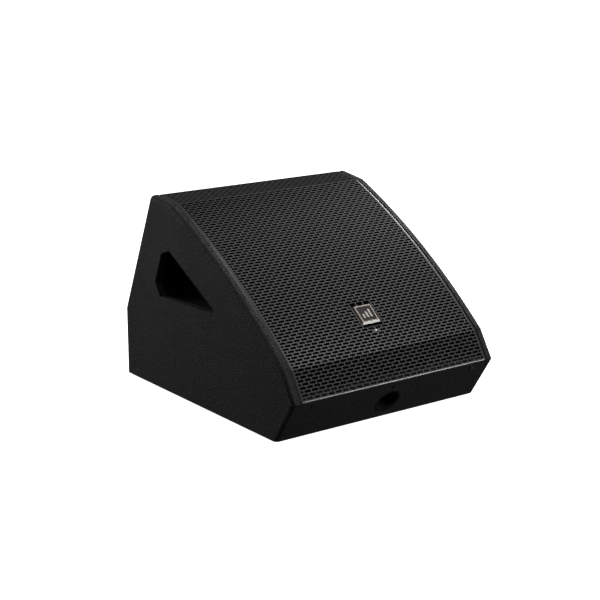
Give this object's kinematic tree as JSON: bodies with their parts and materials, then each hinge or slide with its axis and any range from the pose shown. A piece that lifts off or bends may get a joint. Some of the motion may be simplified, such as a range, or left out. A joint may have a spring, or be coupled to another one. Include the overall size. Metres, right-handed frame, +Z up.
{
  "type": "stage monitor wedge",
  "caption": "Wedge stage monitor with folded perforated grille, coaxial driver, rear amplifier plate, side hand grips and a pole socket.",
  "frame": {"origin": "centre of the bounding box's base, on the floor under the rubber feet", "axes": "+X to the object's left-to-right width, +Y from the listener to the back, +Z up"},
  "size_m": [0.4, 0.4786, 0.3268],
  "materials": {
    "coated_plywood": "black textured hard coating",
    "grille_steel": "black powder coat",
    "foam": "open-cell acoustic foam",
    "dark_plastic": "moulded, fine texture",
    "gloss_plastic": "polished",
    "clear_light": "diffusing light pipe",
    "green_light": "tinted light pipe",
    "bright_metal": "polished and bevelled",
    "badge_black": "dark gloss plate",
    "rubber": "moulded",
    "zinc_steel": "zinc plated",
    "black_steel": "black oxide",
    "cast_aluminium": "die cast, dark coat",
    "cone_paper": "coated pulp",
    "surround_cloth": "doped cloth",
    "spider_cloth": "phenolic cloth",
    "copper": "lacquered copper wire",
    "ferrite": "ground ferrite",
    "plain_steel": "zinc plated, brushed",
    "titanium": "formed foil",
    "amp_metal": "fine black powder coat",
    "circuit": "solder mask",
    "yellow_core": "taped core",
    "blue_sleeve": "shrink sleeve",
    "red_plastic": "moulded"
  },
  "bodies": {
    "cabinet": {"side_panel_left": "coated_plywood", "side_panel_right": "coated_plywood", "bottom_panel": "coated_plywood", "back_lower_panel": "coated_plywood", "back_upper_panel": "coated_plywood", "baffle": "coated_plywood", "undercut_panel": "coated_plywood", "handle_cup_left": "dark_plastic", "handle_cup_right": "dark_plastic", "port_tubes": "dark_plastic", "damping_pads": "foam", "grille": "grille_steel", "grille_foam": "foam", "grille_screws": "black_steel", "badge_frame": "bright_metal", "badge_plate": "badge_black", "status_light": "clear_light", "status_light_board": "circuit", "pole_socket": "dark_plastic", "pole_socket_ring": "dark_plastic", "rubber_feet": "rubber", "foot_screws": "zinc_steel", "basket": "cast_aluminium", "woofer_gasket": "rubber", "woofer_screws": "black_steel", "surround": "surround_cloth", "spider": "spider_cloth", "top_plate": "plain_steel", "magnet": "ferrite", "back_plate": "plain_steel", "hf_horn": "dark_plastic", "hf_body": "cast_aluminium", "hf_rim": "spider_cloth", "hf_cover": "dark_plastic", "terminal_block": "red_plastic", "inner_leads": "red_plastic", "amp_plate": "amp_metal", "amp_screws": "zinc_steel", "heatsink": "amp_metal", "circuit_board": "circuit", "power_supply": "yellow_core", "capacitors": "blue_sleeve", "input_sockets": "dark_plastic", "link_socket": "dark_plastic", "level_pots": "plain_steel", "button_switches": "dark_plastic", "indicator_lights": "green_light", "mains_inlet": "dark_plastic", "rocker_housing": "dark_plastic"},
    "woofer_cone": {"cone": "cone_paper", "voice_coil": "copper"},
    "treble_diaphragm": {"hf_diaphragm": "titanium"},
    "level_knob_a": {"level_knob_a": "dark_plastic"},
    "level_knob_b": {"level_knob_b": "dark_plastic"},
    "button_a": {"button_a": "dark_plastic"},
    "button_b": {"button_b": "dark_plastic"},
    "lift_button": {"lift_button": "dark_plastic"},
    "socket_tab_a": {"socket_tab_a": "zinc_steel"},
    "socket_tab_b": {"socket_tab_b": "zinc_steel"},
    "power_rocker": {"power_rocker": "gloss_plastic"}
  },
  "joints": [
    {"name": "cone_slide", "type": "slide", "parent": "cabinet", "child": "woofer_cone", "axis": [0, -0.5451, 0.8384], "range_m": [-0.006, 0.006], "stiffness_N_per_m": 3500, "deforming": ["surround", "spider"]},
    {"name": "diaphragm_slide", "type": "slide", "parent": "cabinet", "child": "treble_diaphragm", "axis": [0, -0.5451, 0.8384], "range_m": [-0.0003, 0.0003], "stiffness_N_per_m": 20000, "deforming": ["hf_rim"]},
    {"name": "level_a_turn", "type": "hinge", "parent": "cabinet", "child": "level_knob_a", "pos_m": [0.098, 0.1891, 0.22177], "axis": [0, 0.9179, 0.3968], "range_deg": [-150, 150]},
    {"name": "level_b_turn", "type": "hinge", "parent": "cabinet", "child": "level_knob_b", "pos_m": [0.062, 0.1891, 0.22177], "axis": [0, 0.9179, 0.3968], "range_deg": [-150, 150]},
    {"name": "button_a_press", "type": "slide", "parent": "cabinet", "child": "button_a", "axis": [0, -0.9179, -0.3968], "range_m": [0, 0.003], "stiffness_N_per_m": 400},
    {"name": "button_b_press", "type": "slide", "parent": "cabinet", "child": "button_b", "axis": [0, -0.9179, -0.3968], "range_m": [0, 0.003], "stiffness_N_per_m": 400},
    {"name": "lift_button_press", "type": "slide", "parent": "cabinet", "child": "lift_button", "axis": [0, -0.9179, -0.3968], "range_m": [0, 0.003], "stiffness_N_per_m": 400},
    {"name": "socket_tab_a_press", "type": "slide", "parent": "cabinet", "child": "socket_tab_a", "axis": [0, -0.9179, -0.3968], "range_m": [0, 0.002], "stiffness_N_per_m": 500},
    {"name": "socket_tab_b_press", "type": "slide", "parent": "cabinet", "child": "socket_tab_b", "axis": [0, -0.9179, -0.3968], "range_m": [0, 0.002], "stiffness_N_per_m": 500},
    {"name": "rocker_tilt", "type": "hinge", "parent": "cabinet", "child": "power_rocker", "pos_m": [-0.08, 0.19032, 0.2114], "axis": [-1, 0, 0], "range_deg": [0, 20]}
  ]
}
